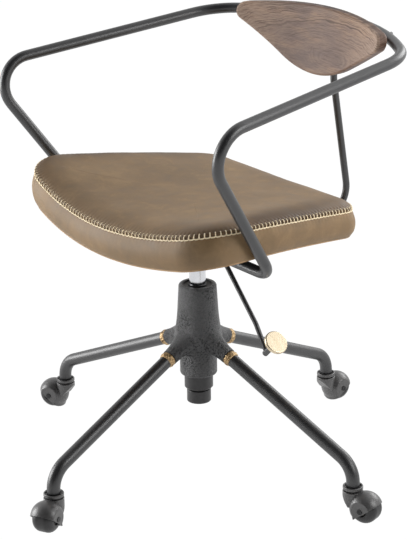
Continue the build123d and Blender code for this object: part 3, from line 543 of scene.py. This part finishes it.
def tube_along(points, radius, sides, verts, faces):
    """Adds a round thread along points to the lists."""
    points = np.asarray(points, float)
    tangent = np.gradient(points, axis=0)
    tangent /= np.linalg.norm(tangent, axis=1)[:, None]
    up = np.array((0.31, 0.17, 0.93))
    base = len(verts)
    for p, t in zip(points, tangent):
        a = np.cross(t, up)
        a /= np.linalg.norm(a)
        b = np.cross(t, a)
        for k in range(sides):
            w = 2 * math.pi * k / sides
            verts.append(p + radius * (math.cos(w) * a + math.sin(w) * b))
    last = base + (len(points) - 1) * sides
    for near in range(base, last, sides):
        far = near + sides
        for k in range(sides):
            m = (k + 1) % sides
            faces.append((near + k, near + m, far + m, far + k))
    faces.append(tuple(base + k for k in range(sides))[::-1])
    faces.append(tuple(last + k for k in range(sides)))


def build_stitching():
    """Whip stitch over the seam: a scalloped line along it and a tick up the crown at every stitch."""
    verts, faces = [], []
    tick_r, line_r, sides = 0.95, 1.1, 6
    rings = [ring_at(0.7, "seam", -1.2), ring_at(0.1, "seam", 0.5)]
    for h in (1.8, 3.2, 4.5, 5.6):
        inset = rim_width * (1 - math.sqrt(1 - (h / crown) ** 2))
        rings.append(ring_at(inset - 0.35, "seam", h))
    rings.append(ring_at(4.6, "seam", 5.7))
    low = ring_at(0.1, "seam", -0.8)
    for i in range(0, len(plan), per_stitch):
        tube_along([r[i] for r in rings], tick_r, sides, verts, faces)
        span = [low[(i + k) % len(low)] for k in range(per_stitch + 1)]
        sag = [-1.1 * math.sin(math.pi * k / per_stitch) for k in range(per_stitch + 1)]
        tube_along([p + np.array((0, 0, h)) for p, h in zip(span, sag)], line_r, sides, verts, faces)
    new_mesh("seat_stitching", np.array(verts) * MM, faces, thread, "seat")


# Braze beads where the legs leave the hub's sockets

def build_beads():
    """Knobby rings of braze, one round each leg."""
    verts, faces = [], []
    turns, across = 72, 11
    root_z, bend_z, reach, base_yaw = 236.8, 88.4, 338, 10.6
    bead_at, bead_half, bead_height, bore_r = 81, 6, 3.0, 10.9
    drop = math.atan2(root_z - bend_z, reach)
    for k in range(4):
        yaw = math.radians(base_yaw + 90 * k)
        level = math.cos(drop)
        axis = np.array((math.cos(yaw) * level, math.sin(yaw) * level, -math.sin(drop)))
        side = np.array((-math.sin(yaw), math.cos(yaw), 0))
        lift = np.cross(axis, side)
        start = np.array((0, 0, root_z)) + axis * bead_at
        base = len(verts)
        for i in range(turns):
            w = 2 * math.pi * i / turns
            ray = math.cos(w) * side + math.sin(w) * lift
            for j in range(across):
                u = 2 * j / (across - 1) - 1
                q = Vector((3.1 * math.cos(w) + 7 * k, 3.1 * math.sin(w), 2.2 * u))
                lump = 0.72 + 0.55 * noise.noise(q * 1.3) + 0.35 * noise.noise(q * 3.1)
                r = bore_r + bead_height * math.sqrt(max(0, 1 - u * u)) * min(1.0, max(0.25, lump))
                verts.append(start + axis * (bead_half * u) + ray * r)
        for i in range(turns):
            here = base + i * across
            there = base + (i + 1) % turns * across
            for j in range(across):
                p = (j + 1) % across
                faces.append((here + j, there + j, there + p, here + p))
    beads = new_mesh("braze_beads", np.array(verts) * MM, faces, braze, "base")
    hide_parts("weld_beads")


build_seat()
build_stitching()
build_beads()


# Stage, light and camera

def build_stage():
    """White floor."""
    mesh = bpy.data.meshes.new("studio_floor")
    s = 30
    mesh.from_pydata([(-s, -s, 0), (s, -s, 0), (s, s, 0), (-s, s, 0)], [], [(0, 1, 2, 3)])
    g = Graph("studio_floor", (0.86, 0.86, 0.86, 1), 0.9)
    path = g.node("ShaderNodeLightPath")
    emit = g.node("ShaderNodeEmission")
    emit.inputs["Color"].default_value = (1, 1, 1, 1)
    emit.inputs["Strength"].default_value = 1.03
    seen = g.math("MAXIMUM", path.outputs["Is Camera Ray"], path.outputs["Is Glossy Ray"])
    seen = g.math("MULTIPLY", seen, 0.97)
    mix = g.node("ShaderNodeMixShader")
    g.link(seen, mix.inputs[0])
    g.link(g.bsdf.outputs[0], mix.inputs[1])
    g.link(emit.outputs[0], mix.inputs[2])
    out = next(n for n in g.tree.nodes if n.type == "OUTPUT_MATERIAL")
    g.link(mix.outputs[0], out.inputs["Surface"])
    mesh.materials.append(g.mat)
    floor = bpy.data.objects.new("studio_floor", mesh)
    bpy.context.scene.collection.objects.link(floor)


def area(name, where, aim, size, power):
    """A soft box that faces a point."""
    light = bpy.data.lights.new(name, "AREA")
    light.shape = "RECTANGLE"
    light.size, light.size_y = size
    light.energy = power
    obj = bpy.data.objects.new(name, light)
    bpy.context.scene.collection.objects.link(obj)
    obj.location = where
    obj.rotation_euler = (Vector(aim) - Vector(where)).to_track_quat("-Z", "Y").to_euler()


def build_light():
    """Bright studio all round, darker high up on the viewer's side, with soft boxes left and right."""
    world = bpy.data.worlds.new("studio")
    bpy.context.scene.world = world
    world.use_nodes = True
    tree = world.node_tree
    back = tree.nodes["Background"]
    tex = tree.nodes.new("ShaderNodeTexCoord")
    dot = tree.nodes.new("ShaderNodeVectorMath")
    dot.operation = "DOT_PRODUCT"
    dot.inputs[1].default_value = (0.68, -0.49, 0.55)
    tree.links.new(tex.outputs["Generated"], dot.inputs[0])
    shade = tree.nodes.new("ShaderNodeMapRange")
    shade.interpolation_type = "SMOOTHSTEP"
    for key, value in (("From Min", -0.05), ("From Max", 0.8), ("To Min", 0.95), ("To Max", 0.03)):
        shade.inputs[key].default_value = value
    tree.links.new(dot.outputs["Value"], shade.inputs["Value"])
    tree.links.new(shade.outputs["Result"], back.inputs["Strength"])
    back.inputs["Color"].default_value = (1, 1, 1, 1)
    path = tree.nodes.new("ShaderNodeLightPath")
    white = tree.nodes.new("ShaderNodeBackground")
    white.inputs["Color"].default_value = (1, 1, 1, 1)
    white.inputs["Strength"].default_value = 1.0
    mix = tree.nodes.new("ShaderNodeMixShader")
    tree.links.new(path.outputs["Is Camera Ray"], mix.inputs[0])
    tree.links.new(back.outputs[0], mix.inputs[1])
    tree.links.new(white.outputs[0], mix.inputs[2])
    tree.links.new(mix.outputs[0], tree.nodes["World Output"].inputs["Surface"])
    area("key_left", (-2.2, -2.1, 0.75), (0, 0, 0.45), (2.0, 1.9), 92)
    area("side_right", (1.95, 0.9, 1.4), (0, 0, 0.45), (1.2, 1.2), 22)
    area("rear", (-0.3, 3.0, 1.8), (0, 0, 0.45), (2.2, 1.4), 40)
    area("overhead", (0.9, 1.4, 3.0), (0, 0, 0.4), (2.8, 2.8), 16)


def build_camera():
    """Long lens at the photograph's angle; r, u and b are its right, up and back directions."""
    data = bpy.data.cameras.new("camera")
    focal_px, height_px = 1893.38, 540
    data.sensor_width = 36
    data.lens = focal_px / height_px * data.sensor_width
    data.clip_end = 100
    cam = bpy.data.objects.new("camera", data)
    bpy.context.scene.collection.objects.link(cam)
    r = Vector((0.589, 0.8081, -0.012))
    b = Vector((0.7654, -0.553, 0.3291)).normalized()
    r = (r - b * r.dot(b)).normalized()
    u = b.cross(r)
    m = Matrix((r, u, b)).transposed().to_4x4()
    m.translation = Vector((2.41995, -1.73571, 1.38087))
    cam.matrix_world = m
    bpy.context.scene.camera = cam


build_stage()
build_light()
build_camera()
bpy.context.scene.view_settings.view_transform = "Standard"
